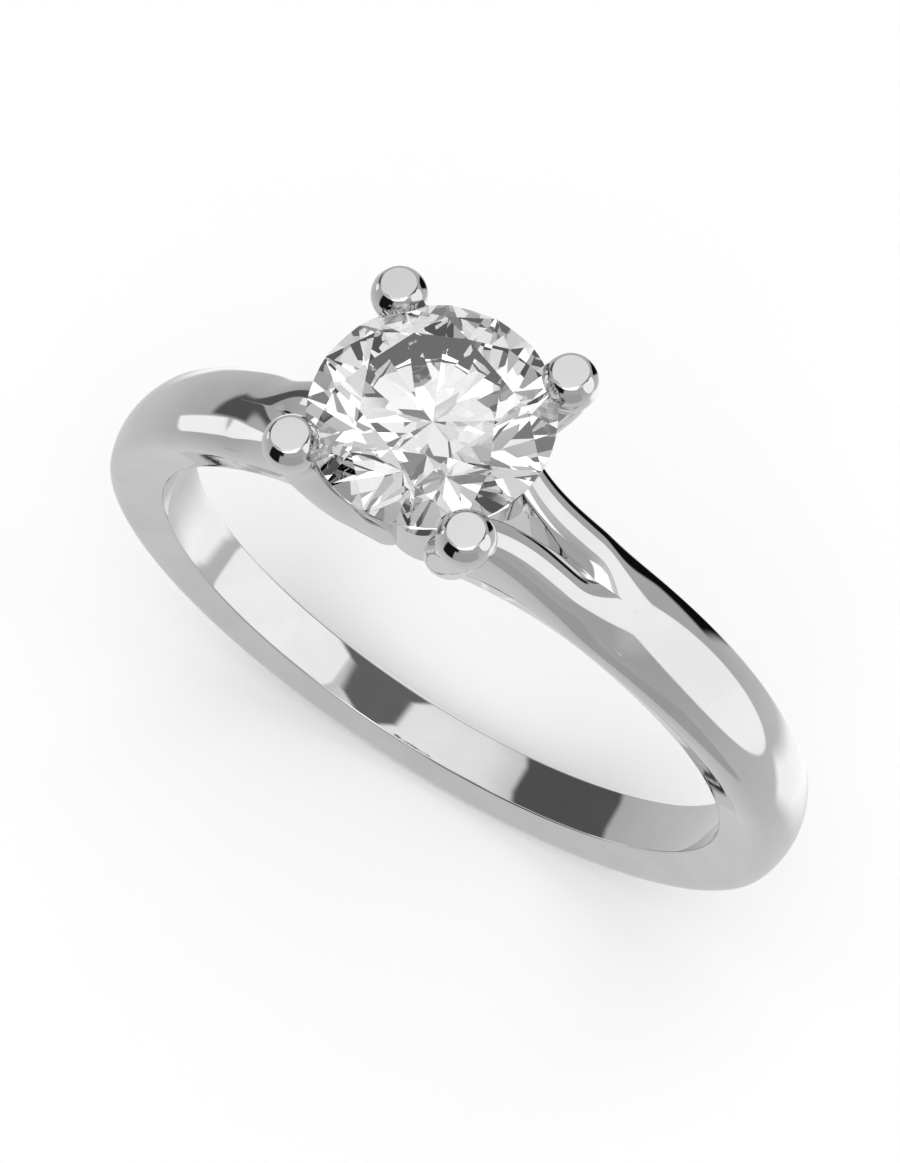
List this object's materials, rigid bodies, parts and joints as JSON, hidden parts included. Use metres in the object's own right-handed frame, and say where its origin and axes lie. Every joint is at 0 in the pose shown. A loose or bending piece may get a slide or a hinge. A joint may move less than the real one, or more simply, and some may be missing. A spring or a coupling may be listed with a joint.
{
  "type": "engagement ring",
  "caption": "Solitaire engagement ring with a domed polished band, forked shoulders, a round claw collet and a round brilliant diamond.",
  "frame": {"origin": "centre of the finger hole, midway across the band", "axes": "+Y along the finger hole axis, +Z from the finger hole to the diamond, +X across the head towards the right shoulder"},
  "size_m": [0.0212, 0.0052, 0.0248],
  "materials": {
    "white_gold": "mirror polished, rhodium-bright white gold",
    "diamond": "clear, polished facets"
  },
  "bodies": {
    "root": {"shank": "white_gold", "arm_front_left": "white_gold", "arm_front_right": "white_gold", "arm_rear_left": "white_gold", "arm_rear_right": "white_gold", "collet": "white_gold", "claw_front_left": "white_gold", "claw_front_right": "white_gold", "claw_rear_left": "white_gold", "claw_rear_right": "white_gold", "diamond": "diamond"}
  },
  "joints": []
}
